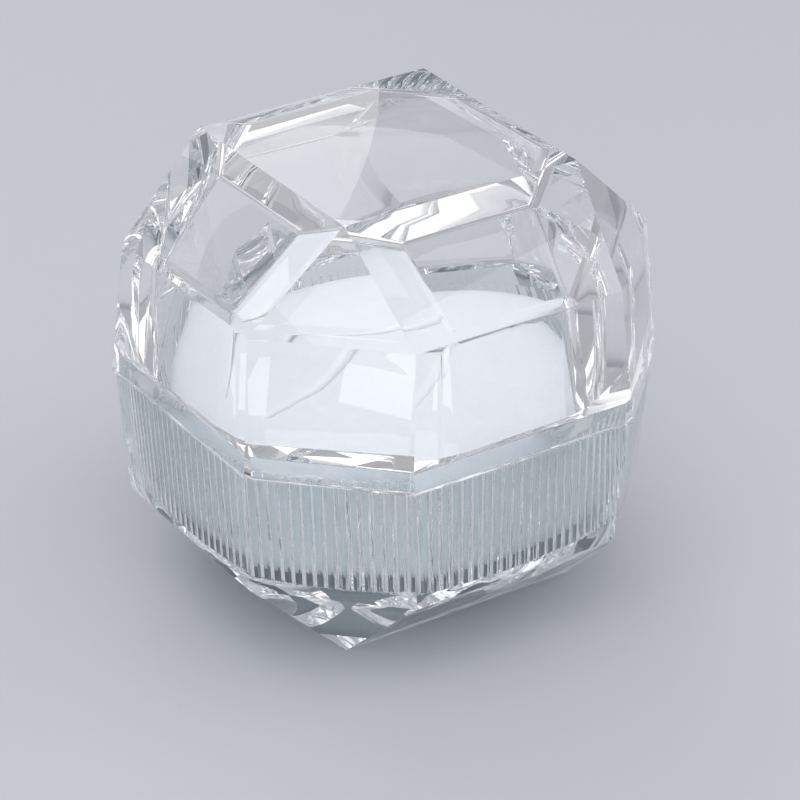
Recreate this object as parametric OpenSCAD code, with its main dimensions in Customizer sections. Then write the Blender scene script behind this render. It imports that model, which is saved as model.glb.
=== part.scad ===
// Faceted ring display box: clear moulded lid and base, wire hinge pin, white foam ring pad.
// Millimetres. The origin is the centre of the foot's underside, +Z is up and the hinge is at +Y.

/* [Outline] */
// Width across the flats at the bottom edge of the lid
lid_w = 40; // [36:0.5:48]
// Corner cut of the octagon there, along one side
rim_cut = 9.5; // [7.5:0.1:10.5]
// How far the lid's edge stands out past the base's edge
rim_overhang = 0.25; // [0.1:0.05:0.5]

/* [Lid] */
// Width across the flats at the shoulder, where the facets start
shoulder_w = 38; // [36.5:0.25:39.5]
// Corner cut at the shoulder
shoulder_cut = 9.3; // [8:0.1:10]
// Width of the flat square table on top
table_w = 21.8; // [18:0.2:24]
// Height of the upright wall
lid_wall_h = 11.7; // [10:0.1:15]
// Height of the facets
crown_h = 7.8; // [7:0.1:9.5]
// Distance from the lid's flats in to the round that rounds its hollow off
lid_wall = 1.6; // [1.5:0.05:2]
// Thickness of the four large facets and of the walls under them
crown_wall = 2.2; // [1.8:0.1:2.6]
// Thickness of the four triangular facets and of the walls under them
corner_wall = 4.4; // [3:0.1:4.8]
// Thickness of the table
table_wall = 3.2; // [2:0.1:3.5]
// Radius of the edges between the facets, inside the lid
crown_round = 1.2; // [0.6:0.1:2]

/* [Base] */
// Width across the flats at the foot of the ribbed band
band_w = 38.4; // [37:0.2:39.2]
// Corner cut at the foot of the ribbed band
band_cut = 9.6; // [8.5:0.1:10.5]
// Width of the square foot
foot_w = 22; // [19:0.5:25]
// Height of the ribbed band
band_h = 11; // [10:0.1:14]
// Height of the facets under the band
keel_h = 7.8; // [7:0.1:9]
// Least thickness of the wall round the base's round hollow, over the rib crests
base_wall = 1.75; // [1.7:0.05:2]
// Thickness of the facets under the band
keel_wall = 1.4; // [1.2:0.1:2.2]
// Thickness of the floor over the foot
floor_wall = 2.2; // [1.6:0.1:2.6]

/* [Ribs inside the band] */
// Number of ribs round the hollow
rib_count = 126; // [60:2:140]
// Depth of the grooves between the ribs
rib_depth = 0.3; // [0.15:0.05:0.45]
// How far the rib crests stand back from the hollow's wall
rib_set = 0.05; // [0.02:0.01:0.1]
// Plain strip left above the ribs, under the base's edge
rib_margin = 0.5; // [0.3:0.1:1]

/* [Rim joint] */
// Height of the base's collar inside the lid
collar_h = 1.6; // [1.2:0.1:2.2]
// Thickness of the lid's edge outside the collar
lip_wall = 1.0; // [0.8:0.05:1.2]
// Clearance between collar and lid
collar_gap = 0.1; // [0.05:0.01:0.15]

/* [Hinge] */
// Distance of the hinge axis behind the lid's edge
hinge_back = 1.8; // [1.75:0.05:2.2]
// Outer radius of the knuckles
knuckle_r = 1.7; // [1.4:0.05:1.7]
// Width of the lid's middle knuckle
knuckle_w = 5; // [4:0.5:9]
// Width of each of the base's two knuckles
lug_w = 2.25; // [2:0.25:4]
// Side clearance between neighbouring knuckles
knuckle_gap = 0.1; // [0.05:0.05:0.3]
// Radius of the hinge pin
pin_r = 0.6; // [0.5:0.05:0.8]
// Running clearance of the pin in the lid's knuckle
pin_gap = 0.05; // [0.02:0.01:0.1]
// Height of the webs that carry the knuckles on the walls
web_h = 4; // [3.5:0.1:6.5]
// How far the webs reach into the walls
web_root = 0.5; // [0.3:0.05:0.8]
// Reach of the square heel that stops the lid, back from the axis
heel_back = 1.62; // [1.4:0.02:1.66]
// Reach of the heel up from the axis
heel_up = 1.5; // [1.3:0.05:1.5]

/* [Foam pad] */
// Clearance between the pad's side and the ribs
pad_gap = 0.3; // [0.2:0.05:1]
// Radius of the pad's lower edge
pad_round = 2; // [1:0.1:3]
// Height of the pad's side above its underside, which is level with the ribs' feet
pad_side_h = 8.6; // [7:0.1:10.5]
// Height of the pad's crown above its side
pad_crown_h = 3.8; // [3:0.1:8]
// Fullness of the crown: 2 is an ellipse, more is squarer
pad_fullness = 2.5; // [2:0.1:3]
// Length of the ring slit
slit_l = 22; // [20:0.5:28]
// Depth of the ring slit under the crown
slit_depth = 8; // [6:0.5:9]
// Width of the ring slit
slit_w = 0.4; // [0.3:0.1:1]
// Radius to which the slit's lips roll over
lip_r = 0.5; // [0.4:0.1:2]

/* [Hidden] */

// Length past which a cut or a hole is out of the part
reach = 60;
round_fn = 120;
pad_fn = 72;
small_fn = 48;
ball_fn = 24;
// Depth to which joined solids run into each other
overlap = 1;
rim_z = keel_h + band_h;
hinge_y = lid_w / 2 + hinge_back;
pin_l = knuckle_w + 2 * knuckle_gap + 2 * lug_w;
collar_half = lid_w / 2 - lip_wall - collar_gap;
// How far the hollows run out past the rim
run_out = 2 * collar_h;
rib_steps = 4;
pin_tip = 0.15;

// Distance from the axis to the face that cuts a square's corners off
function corner_face(half, cut) = (2 * half - cut) / sqrt(2);
function along(v) = v / norm(v);
function inward(d) = [-d.y, d.x];
// Point where the line through p along d meets the line through q along e
function meet(p, d, q, e) = p + d * cross(q - p, e) / cross(d, e);

// A half-profile runs from the rim, [r, 0], to the shoulder and on to the table
lid_main = [[lid_w / 2, 0], [shoulder_w / 2, lid_wall_h], [table_w / 2, lid_wall_h + crown_h]];
lid_corner = [
    [corner_face(lid_w / 2, rim_cut), 0],
    [corner_face(shoulder_w / 2, shoulder_cut), lid_wall_h],
    [corner_face(table_w / 2, 0), lid_wall_h + crown_h]
];
base_rim = lid_w / 2 - rim_overhang;
base_main = [[base_rim, 0], [band_w / 2, band_h], [foot_w / 2, band_h + keel_h]];
base_corner = [
    [corner_face(lid_w / 2, rim_cut) - rim_overhang, 0],
    [corner_face(band_w / 2, band_cut), band_h],
    [corner_face(foot_w / 2, 0), band_h + keel_h]
];

// The same half-profile, set in by t on the wall and facet and by top on the table
function set_in(p, t, top) =
    let (d1 = along(p[1] - p[0]), d2 = along(p[2] - p[1]))
    let (q1 = p[0] + inward(d1) * t, q2 = p[1] + inward(d2) * t)
    [
        meet(q1, d1, [0, 0], [1, 0]),
        meet(q1, d1, q2, d2),
        meet(q2, d2, [0, p[2].y - top], [1, 0])
    ];
// Radius of a half-profile at height z, where the steeper of its two lines cuts in
function slope(a, b) = (b.x - a.x) / (b.y - a.y);
function radius_at(p, z) = min(
    p[0].x + slope(p[0], p[1]) * (z - p[0].y),
    p[1].x + slope(p[1], p[2]) * (z - p[1].y)
);

// Corners of the octagon with flats at half and corner faces at corner
function octagon(half, corner) =
    let (c = max(0, 2 * half - sqrt(2) * corner), s = half - c)
    [
        [-s, -half], [s, -half], [half, -s], [half, s],
        [s, half], [-s, half], [-half, s], [-half, -s]
    ];

module slab(p) {
    outline = concat(p, [for (i = [len(p) - 1:-1:0]) [-p[i].x, p[i].y]]);
    rotate([90, 0, 0]) linear_extrude(reach, center = true) polygon(outline);
}

// Solid with the main profile on four sides and the corner profile on the other four
module faceted(main, corner) {
    intersection() {
        slab(main);
        rotate([0, 0, 90]) slab(main);
        rotate([0, 0, 45]) slab(corner);
        rotate([0, 0, 135]) slab(corner);
    }
}

// A round hollow runs out past the rim, narrows with its profile's wall and is turned on along the tail
module bore(p, tail) {
    rotate_extrude($fn = round_fn)
        polygon(concat([[0, -run_out], [wall_at(p, -run_out), -run_out]], tail));
}
function wall_at(p, z) = p[0].x + slope(p[0], p[1]) * z;

// Hollow along the lid's flats and facets, with rounded edges between them
module crown_hollow() {
    m = set_in(lid_main, crown_wall + crown_round, table_wall + crown_round);
    c = set_in(lid_corner, corner_wall + crown_round, table_wall + crown_round);
    hull() for (z = [-2 * run_out, m[1].y, c[1].y, m[2].y], p = octagon(radius_at(m, z), radius_at(c, z)))
        translate([p.x, p.y, z]) sphere(r = crown_round, $fn = ball_fn);
}

// The lid's hollow is rounded off between its flats; it is convex, so a hull closes it
lid_bore = set_in(lid_main, lid_wall, table_wall);
module lid_hollow() {
    top = lid_bore[2].y;
    hull() intersection() {
        bore(lid_bore, [[wall_at(lid_bore, top), top], [0, top]]);
        crown_hollow();
    }
}

// The base's hollow is round and narrows under the ribs in a cone that runs along the facets
base_bore = set_in(base_main, base_wall, floor_wall);
base_floor = set_in(base_main, keel_wall, floor_wall);
rib_foot = meet(base_bore[0], base_bore[1] - base_bore[0], base_floor[1], base_floor[2] - base_floor[1]);
module base_hollow() {
    bore(base_bore, [rib_foot, base_floor[2], [0, base_floor[2].y]]);
}

module upside_down() {
    translate([0, 0, rim_z]) mirror([0, 0, 1]) children();
}

// Round outline that bulges in at every rib and runs out to a groove between two
function ribbed(r) = [
    for (i = [0:rib_count * rib_steps - 1])
        let (u = 2 * (i % rib_steps) / rib_steps - 1, a = 360 * i / (rib_count * rib_steps))
        (r + rib_depth * u * u) * [cos(a), sin(a)]
];

// Grooves between the ribs, cut outwards from the hollow's wall and drafted with it
module rib_grooves() {
    r_top = wall_at(base_bore, rib_margin) + rib_set;
    translate([0, 0, rib_margin])
        linear_extrude(rib_foot.y - rib_margin, scale = (rib_foot.x + rib_set) / r_top) polygon(ribbed(r_top));
}

module along_hinge(x, width) {
    translate([x - width / 2, hinge_y, rim_z]) rotate([90, 0, 90]) linear_extrude(width) children();
}

// Knuckle and the web that carries it; side is 1 over the rim and -1 under it
module knuckle(wall_at_rim, wall_at_web, side) {
    root = [wall_at_rim - web_root - hinge_y, wall_at_web - web_root - hinge_y];
    slant = knuckle_r * cos(45);
    polygon([[root[0], 0], [0, 0], [slant, side * slant], [root[1], side * web_h]]);
    circle(r = knuckle_r, $fn = small_fn);
}

module pin_hole(radius) {
    translate([0, hinge_y, rim_z]) rotate([0, 90, 0])
        cylinder(r = radius, h = reach, center = true, $fn = small_fn);
}

module base_shell() {
    lug_x = knuckle_w / 2 + knuckle_gap + lug_w / 2;
    color([0.85, 0.9, 0.93, 0.5]) difference() {
        union() {
            upside_down() faceted(base_main, base_corner);
            translate([0, 0, rim_z - overlap]) linear_extrude(collar_h + overlap)
                polygon(octagon(collar_half, corner_face(lid_w / 2, rim_cut) - lip_wall - collar_gap));
            for (s = [-1, 1]) along_hinge(s * lug_x, lug_w) {
                knuckle(base_rim, radius_at(base_main, web_h), -1);
                polygon([[0, 0], [knuckle_r, 0], [heel_back, heel_up], [0, knuckle_r]]);
            }
        }
        upside_down() base_hollow();
        upside_down() rib_grooves();
        pin_hole(pin_r);
    }
}

module lid_shell() {
    color([0.92, 0.95, 0.97, 0.4]) difference() {
        union() {
            translate([0, 0, rim_z]) faceted(lid_main, lid_corner);
            along_hinge(0, knuckle_w) knuckle(lid_w / 2, radius_at(lid_main, web_h), 1);
        }
        translate([0, 0, rim_z]) lid_hollow();
        translate([0, 0, rim_z - overlap]) linear_extrude(overlap + collar_h + collar_gap)
            polygon(octagon(lid_w / 2 - lip_wall, corner_face(lid_w / 2, rim_cut) - lip_wall));
        pin_hole(pin_r + pin_gap);
    }
}

module hinge_pin() {
    r = pin_r - pin_tip;
    color("silver") translate([-pin_l / 2, hinge_y, rim_z]) rotate([90, 0, 90]) rotate_extrude($fn = small_fn)
        polygon([[0, 0], [r, 0], [pin_r, pin_tip], [pin_r, pin_l - pin_tip], [r, pin_l], [0, pin_l]]);
}

// Foam pad: a crowned disc that the ribs grip, with a ring slit whose lips are rolled
pad_r = min(lid_bore[0].x, base_bore[0].x, rib_foot.x) - pad_gap;
pad_z = rim_z - rib_foot.y;
module ring_pad() {
    side_z = pad_z + pad_side_h;
    top_z = side_z + pad_crown_h;
    edge = [for (a = [-90:22.5:0]) [pad_r - pad_round * (1 - cos(a)), pad_z + pad_round * (1 + sin(a))]];
    crown = [for (a = [0:10:90])
        [pad_r * pow(cos(a), 2 / pad_fullness), side_z + pad_crown_h * pow(sin(a), 2 / pad_fullness)]];
    lips = [for (a = [0:22.5:90]) [slit_w / 2 + lip_r * (1 - cos(a)), top_z - lip_r * (1 - sin(a))]];
    half = concat([[slit_w / 2, top_z - slit_depth]], lips, [[slit_w / 2 + lip_r, reach]]);
    color("white") difference() {
        hull() rotate_extrude($fn = pad_fn) polygon(concat([[0, pad_z]], edge, crown));
        rotate([90, 0, 90]) linear_extrude(slit_l, center = true)
            polygon(concat(half, [for (i = [len(half) - 1:-1:0]) [-half[i].x, half[i].y]]));
    }
}

base_shell();
lid_shell();
hinge_pin();
ring_pad();
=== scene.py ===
import math

import bmesh
import bpy
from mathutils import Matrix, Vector


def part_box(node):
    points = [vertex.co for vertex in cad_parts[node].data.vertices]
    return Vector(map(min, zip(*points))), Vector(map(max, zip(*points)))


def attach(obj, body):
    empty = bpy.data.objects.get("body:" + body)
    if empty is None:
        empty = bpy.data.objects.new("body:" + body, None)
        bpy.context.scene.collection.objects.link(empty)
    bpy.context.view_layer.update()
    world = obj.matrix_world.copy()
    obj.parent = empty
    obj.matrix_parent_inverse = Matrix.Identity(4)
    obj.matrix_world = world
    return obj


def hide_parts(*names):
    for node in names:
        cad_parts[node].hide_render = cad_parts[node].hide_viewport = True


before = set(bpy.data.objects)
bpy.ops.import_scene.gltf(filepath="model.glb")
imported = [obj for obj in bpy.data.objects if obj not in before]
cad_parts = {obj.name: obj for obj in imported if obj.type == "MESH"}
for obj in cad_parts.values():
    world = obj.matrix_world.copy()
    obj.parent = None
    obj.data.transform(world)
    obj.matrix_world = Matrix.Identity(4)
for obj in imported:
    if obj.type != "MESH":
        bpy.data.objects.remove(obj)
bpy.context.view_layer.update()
scene = bpy.context.scene
mm = 0.001


# ---- helpers

def srgb(code):
    # "rrggbb" as the renderer's linear colour
    parts = [int(code[i:i + 2], 16) / 255 for i in (0, 2, 4)]
    linear = [c / 12.92 if c <= 0.04045 else ((c + 0.055) / 1.055) ** 2.4 for c in parts]
    return (*linear, 1.0)


def addNode(tree, kind, settings=None, values=None, links=None):
    # settings are the node's own, values are for its sockets, and links feed its sockets
    node = tree.nodes.new(kind)
    for key, value in (settings or {}).items():
        setattr(node, key, value)
    for key, value in (values or {}).items():
        node.inputs[key].default_value = value
    for key, source in (links or {}).items():
        tree.links.new(source, node.inputs[key])
    return node


def newMaterial(name):
    material = bpy.data.materials.new(name)
    material.use_nodes = True
    material.node_tree.nodes.clear()
    return material, material.node_tree


def dress(obj, material):
    obj.data.materials.clear()
    obj.data.materials.append(material)
    for face in obj.data.polygons:
        face.material_index = 0


def applyModifiers(obj):
    # the mesh as its modifiers leave it
    depsgraph = bpy.context.evaluated_depsgraph_get()
    mesh = bpy.data.meshes.new_from_object(obj.evaluated_get(depsgraph))
    obj.modifiers.clear()
    old = obj.data
    obj.data = mesh
    bpy.data.meshes.remove(old)


# ---- materials

def clearPlastic(name, tint, passedAndShade):
    # clear moulded polystyrene, polished; the last argument is what a lamp's light keeps on its
    # way through, and where it is darker than the tint it paints shade on what stands behind
    material, tree = newMaterial(name)
    body = addNode(tree, "ShaderNodeBsdfPrincipled", values={
        "Base Color": srgb(tint),
        "Roughness": 0.0,
        "IOR": 1.58,
        "Transmission Weight": 1.0,
    })
    # lamps reach what stands behind the plastic
    path = addNode(tree, "ShaderNodeLightPath")
    through = addNode(tree, "ShaderNodeBsdfTransparent", values={"Color": srgb(passedAndShade)})
    mixed = addNode(tree, "ShaderNodeMixShader", links={
        0: path.outputs["Is Shadow Ray"],
        1: body.outputs["BSDF"],
        2: through.outputs["BSDF"],
    })
    addNode(tree, "ShaderNodeOutputMaterial", links={"Surface": mixed.outputs["Shader"]})
    return material


steelLines = {
    "along": 2.5 * mm,
    "across": mm / 6,
    "relief": 0.01 * mm,
}


def drawnSteel():
    # drawn steel wire, with fine lines along it
    material, tree = newMaterial("drawnSteelWire")
    place = addNode(tree, "ShaderNodeTexCoord")
    across = 1 / steelLines["across"]
    stretch = addNode(tree, "ShaderNodeMapping",
                      values={"Scale": (1 / steelLines["along"], across, across)},
                      links={"Vector": place.outputs["Object"]})
    lines = addNode(tree, "ShaderNodeTexNoise", values={"Scale": 1.0, "Detail": 3.0},
                    links={"Vector": stretch.outputs["Vector"]})
    relief = addNode(tree, "ShaderNodeBump", values={
        "Strength": 0.2,
        "Distance": steelLines["relief"],
    }, links={"Height": lines.outputs["Fac"]})
    body = addNode(tree, "ShaderNodeBsdfPrincipled", values={
        "Base Color": srgb("c9cacc"),
        "Metallic": 1.0,
        "Roughness": 0.28,
    }, links={"Normal": relief.outputs["Normal"]})
    addNode(tree, "ShaderNodeOutputMaterial", links={"Surface": body.outputs["BSDF"]})
    return material


foamSkin = {
    "pore": 0.35 * mm,
    "grain": 0.8 * mm,
    "relief": 0.06 * mm,
    "glow": 0.6 * mm,
    "tones": ("eceef4", "f7f8fb"),
}


def whiteFoam():
    # white foam with a fine matt skin
    material, tree = newMaterial("whiteFoam")
    place = addNode(tree, "ShaderNodeTexCoord")
    pores = addNode(tree, "ShaderNodeTexVoronoi", values={"Scale": 1 / foamSkin["pore"]},
                    links={"Vector": place.outputs["Object"]})
    grain = addNode(tree, "ShaderNodeTexNoise", values={
        "Scale": 1 / foamSkin["grain"],
        "Detail": 4.0,
    }, links={"Vector": place.outputs["Object"]})
    depth = addNode(tree, "ShaderNodeMath", {"operation": "MULTIPLY"},
                    links={0: pores.outputs["Distance"], 1: grain.outputs["Fac"]})
    relief = addNode(tree, "ShaderNodeBump", values={
        "Strength": 0.6,
        "Distance": foamSkin["relief"],
    }, links={"Height": depth.outputs["Value"]})
    tone = addNode(tree, "ShaderNodeMix", {"data_type": "RGBA"},
                   links={"Factor": grain.outputs["Fac"]})
    # sockets 6 and 7 are the mix's two colours, and output 2 is its colour
    tone.inputs[6].default_value = srgb(foamSkin["tones"][0])
    tone.inputs[7].default_value = srgb(foamSkin["tones"][1])
    body = addNode(tree, "ShaderNodeBsdfPrincipled", values={
        "Roughness": 0.9,
        "Subsurface Weight": 0.15,
        "Subsurface Radius": (1.0, 1.0, 1.0),
        "Subsurface Scale": foamSkin["glow"],
        "Sheen Weight": 0.15,
    }, links={"Base Color": tone.outputs[2], "Normal": relief.outputs["Normal"]})
    addNode(tree, "ShaderNodeOutputMaterial", links={"Surface": body.outputs["BSDF"]})
    return material


def paleFloor():
    # plain matt studio floor
    material, tree = newMaterial("paleFloor")
    body = addNode(tree, "ShaderNodeBsdfPrincipled", values={
        "Base Color": srgb("d4d6da"),
        "Roughness": 0.7,
    })
    addNode(tree, "ShaderNodeOutputMaterial", links={"Surface": body.outputs["BSDF"]})
    return material


plastics = {
    "lid_shell": clearPlastic("clearPolystyrene", "fdfdfe", "f0f3f5"),
    # a faint blue tint, and a darker colour for lamp light through it that paints blue-grey
    # shade on the pad behind the ribs
    "base_shell": clearPlastic("clearRibbedPolystyrene", "f1f5f6", "c4ced3"),
}
steel = drawnSteel()
foam = whiteFoam()
print("materials made")


# ---- clear shells and hinge pin: the CAD solids, with softened edges

shells = {
    "weld": 0.001 * mm,
    "air": 0.01 * mm,
    "edge": 0.08 * mm,
    "edgeSteps": 2,
    "smooth": math.radians(25),
}
for name, plastic in plastics.items():
    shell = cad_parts[name]
    dress(shell, plastic)
    weld = shell.modifiers.new("weld", "WELD")
    weld.merge_threshold = shells["weld"]
    # a film of air between the shells, and over the floor, as light meets it where they touch
    film = shell.modifiers.new("air", "DISPLACE")
    film.mid_level = 0
    film.strength = -shells["air"]
    bevel = shell.modifiers.new("edges", "BEVEL")
    bevel.width = shells["edge"]
    bevel.segments = shells["edgeSteps"]
    bevel.limit_method = "ANGLE"
    bevel.angle_limit = shells["smooth"]
    bevel.harden_normals = True
    for face in shell.data.polygons:
        face.use_smooth = True
dress(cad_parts["hinge_pin"], steel)
print("shells and pin dressed")


# ---- foam pad

low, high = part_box("ring_pad")
pad = {
    "radius": (high.x - low.x) / 2,
    "bottom": low.z,
    "top": high.z,
    "crown": 3.8 * mm,
    "fullness": 2.5,
    "round": 2.0 * mm,
    "slit": 0.4 * mm,
    "slitLength": 22 * mm,
    "slitDepth": 8.0 * mm,
    "lip": 0.5 * mm,
    "segments": 160,
    "roundSteps": 12,
    "crownSteps": 36,
    "lipSteps": 8,
    "voxel": 0.2 * mm,
    "softenSteps": 3,
}


def padProfile():
    # underside, rounded lower edge, side and crown, from the axis outwards and back
    points = [(0, pad["bottom"])]
    for i in range(pad["roundSteps"] + 1):
        a = math.radians(-90 + 90 * i / pad["roundSteps"])
        points.append((pad["radius"] - pad["round"] * (1 - math.cos(a)),
                       pad["bottom"] + pad["round"] * (1 + math.sin(a))))
    side = pad["top"] - pad["crown"]
    power = 2 / pad["fullness"]
    for i in range(pad["crownSteps"] + 1):
        a = math.radians(90 * i / pad["crownSteps"])
        points.append((pad["radius"] * max(math.cos(a), 0) ** power,
                       side + pad["crown"] * math.sin(a) ** power))
    return points


def lathe(name, points, segments):
    # a point closer to the axis than onAxis is one vertex and not a ring
    onAxis = 0.0001 * mm
    mesh = bmesh.new()
    rings = []
    for r, z in points:
        if r < onAxis:
            rings.append([mesh.verts.new((0, 0, z))])
        else:
            rings.append([mesh.verts.new((r * math.cos(t), r * math.sin(t), z))
                          for t in (2 * math.pi * i / segments for i in range(segments))])
    for a, b in zip(rings, rings[1:]):
        for i in range(segments):
            j = (i + 1) % segments
            corners = [a[i % len(a)], a[j % len(a)], b[j % len(b)], b[i % len(b)]]
            mesh.faces.new(list(dict.fromkeys(corners)))
    bmesh.ops.recalc_face_normals(mesh, faces=mesh.faces)
    data = bpy.data.meshes.new(name)
    mesh.to_mesh(data)
    mesh.free()
    obj = bpy.data.objects.new(name, data)
    scene.collection.objects.link(obj)
    return obj


def slitCutter():
    # prism along X: the slit with its rolled lips, open at the top
    half = [(pad["slit"] / 2, pad["top"] - pad["slitDepth"])]
    for i in range(pad["lipSteps"] + 1):
        a = math.radians(90 * i / pad["lipSteps"])
        half.append((pad["slit"] / 2 + pad["lip"] * (1 - math.cos(a)),
                     pad["top"] - pad["lip"] * (1 - math.sin(a))))
    half.append((half[-1][0], pad["top"] + mm))
    outline = half + [(-y, z) for y, z in reversed(half)]
    reach = pad["slitLength"] / 2
    mesh = bmesh.new()
    ends = [[mesh.verts.new((x, y, z)) for y, z in outline] for x in (-reach, reach)]
    for i in range(len(outline)):
        j = (i + 1) % len(outline)
        mesh.faces.new((ends[0][i], ends[0][j], ends[1][j], ends[1][i]))
    mesh.faces.new(ends[0])
    mesh.faces.new(ends[1])
    bmesh.ops.recalc_face_normals(mesh, faces=mesh.faces)
    data = bpy.data.meshes.new("slitCutter")
    mesh.to_mesh(data)
    mesh.free()
    obj = bpy.data.objects.new("slitCutter", data)
    scene.collection.objects.link(obj)
    return obj


padPiece = lathe("foamPad", padProfile(), pad["segments"])
cutter = slitCutter()
cut = padPiece.modifiers.new("slit", "BOOLEAN")
cut.object = cutter
cut.solver = "EXACT"
remesh = padPiece.modifiers.new("skin", "REMESH")
remesh.mode = "VOXEL"
remesh.voxel_size = pad["voxel"]
remesh.use_smooth_shade = True
soften = padPiece.modifiers.new("soften", "SMOOTH")
soften.factor = 0.5
soften.iterations = pad["softenSteps"]
applyModifiers(padPiece)
bpy.data.objects.remove(cutter)
dress(padPiece, foam)
for face in padPiece.data.polygons:
    face.use_smooth = True
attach(padPiece, "base")
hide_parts("ring_pad")
print("pad made:", len(padPiece.data.polygons), "faces")


# ---- floor, light and camera

studio = {
    "floorSize": 6,
    "sky": "dfe1e6",
    "skyStrength": 0.55,
    "lit": (0, 0, 0.02),
}
bpy.ops.mesh.primitive_plane_add(size=studio["floorSize"])
floor = bpy.context.object
floor.name = "studioFloor"
dress(floor, paleFloor())

world = bpy.data.worlds.new("studio")
scene.world = world
world.use_nodes = True
sky = world.node_tree.nodes["Background"]
sky.inputs["Color"].default_value = srgb(studio["sky"])
sky.inputs["Strength"].default_value = studio["skyStrength"]

# place in metres, width in metres and power in watts of each soft lamp
lamps = {
    "key": ((-0.14, -0.12, 0.40), 0.50, 0.80),
    "side": ((0.36, -0.20, 0.22), 0.35, 0.38),
    "back": ((0.05, 0.40, 0.30), 0.40, 0.45),
    "front": ((-0.30, -0.36, 0.10), 0.20, 0.30),
}
for name, (place, width, power) in lamps.items():
    lamp = bpy.data.lights.new(name, "AREA")
    lamp.size = width
    lamp.energy = power
    holder = bpy.data.objects.new(name, lamp)
    scene.collection.objects.link(holder)
    holder.location = place
    aim = Vector(studio["lit"]) - Vector(place)
    holder.rotation_euler = aim.to_track_quat("-Z", "Y").to_euler()

# fitted to the photo's perspective
view = {
    "azimuth": -33.1,
    "elevation": 28.33,
    "distance": 0.2768,
    "target": (0, 0, 0.0188),
    "lens": 150.7,
    "sensor": 36,
    "shift": (0.0175, -0.0524),
}
a, e = math.radians(view["azimuth"]), math.radians(view["elevation"])
back = Vector((math.sin(a) * math.cos(e), -math.cos(a) * math.cos(e), math.sin(e)))
camera = bpy.data.cameras.new("camera")
camera.sensor_width = view["sensor"]
camera.lens = view["lens"]
camera.shift_x, camera.shift_y = view["shift"]
eye = bpy.data.objects.new("camera", camera)
scene.collection.objects.link(eye)
eye.location = Vector(view["target"]) + back * view["distance"]
eye.rotation_euler = (-back).to_track_quat("-Z", "Y").to_euler()
scene.camera = eye
scene.view_settings.view_transform = "Standard"
# light passes many walls of clear plastic before it leaves the box
bounces = 48
scene.cycles.max_bounces = bounces
scene.cycles.transmission_bounces = bounces
scene.cycles.glossy_bounces = bounces
print("floor, light and camera set")
